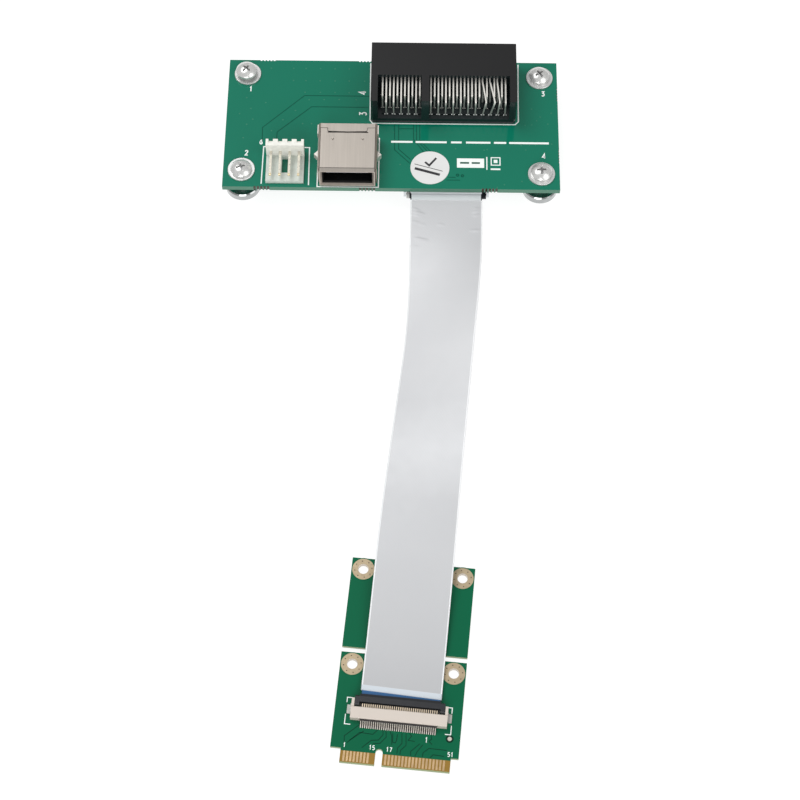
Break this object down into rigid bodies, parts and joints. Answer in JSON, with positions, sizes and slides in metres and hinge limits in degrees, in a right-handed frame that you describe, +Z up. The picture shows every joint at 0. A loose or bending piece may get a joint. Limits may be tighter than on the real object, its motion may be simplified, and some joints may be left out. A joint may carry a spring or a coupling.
{
  "type": "edge card to card slot adapter",
  "caption": "Adapter that links a small edge card by a flat ribbon to a larger board with a right-angle card slot, a wide receptacle and a power header.",
  "frame": {"origin": "middle of the part's outline seen from above, on the surface that it stands on", "axes": "+X along the main board, +Y from the edge card towards the main board's card slot, +Z up"},
  "size_m": [0.0898, 0.1972, 0.0174],
  "materials": {
    "main_board_mask": "gloss",
    "card_mask": "gloss",
    "polished_steel": "gloss",
    "zinc": "satin",
    "black_plastic": "matte",
    "ivory_plastic": "satin",
    "beige_plastic": "satin",
    "latch_plastic": "satin",
    "nickel_sheet": "satin",
    "bright_contacts": "gloss",
    "gold_contacts": "satin",
    "tinned_copper": "satin",
    "sticker_paper": "matte",
    "ribbon_film": "satin",
    "ribbon_stiffener": "satin"
  },
  "bodies": {
    "adapter": {"board_feet": "polished_steel", "board_ribbon_anchors": "bright_contacts", "board_ribbon_contacts": "bright_contacts", "board_ribbon_housing": "beige_plastic", "board_screws": "zinc", "board_washers": "zinc", "card_board": "card_mask", "card_fingers_bottom": "gold_contacts", "card_fingers_top": "gold_contacts", "card_lands": "tinned_copper", "card_ribbon_anchors": "bright_contacts", "card_ribbon_contacts": "bright_contacts", "card_ribbon_housing": "beige_plastic", "header_body": "ivory_plastic", "header_pins": "bright_contacts", "main_board": "main_board_mask", "port_contacts": "gold_contacts", "port_cover": "nickel_sheet", "port_insulator": "black_plastic", "port_shell": "nickel_sheet", "ribbon_cable": "ribbon_film", "ribbon_end_at_board": "ribbon_stiffener", "ribbon_end_at_card": "ribbon_stiffener", "round_sticker": "sticker_paper", "slot_housing": "black_plastic", "slot_pins_lower_inner": "bright_contacts", "slot_pins_lower_outer": "bright_contacts", "slot_pins_upper_inner": "bright_contacts", "slot_pins_upper_outer": "bright_contacts"},
    "card_latch": {"card_ribbon_latch": "latch_plastic"},
    "board_latch": {"board_ribbon_latch": "latch_plastic"}
  },
  "joints": [
    {"name": "card_latch_hinge", "type": "hinge", "parent": "adapter", "child": "card_latch", "pos_m": [0.00413, -0.083, 0.0025], "axis": [0.9961, -0.088, 0], "range_deg": [0, 90]},
    {"name": "board_latch_hinge", "type": "hinge", "parent": "adapter", "child": "board_latch", "pos_m": [0.01471, 0.05753, 0.00455], "axis": [1, 0, 0], "range_deg": [0, 90]}
  ]
}
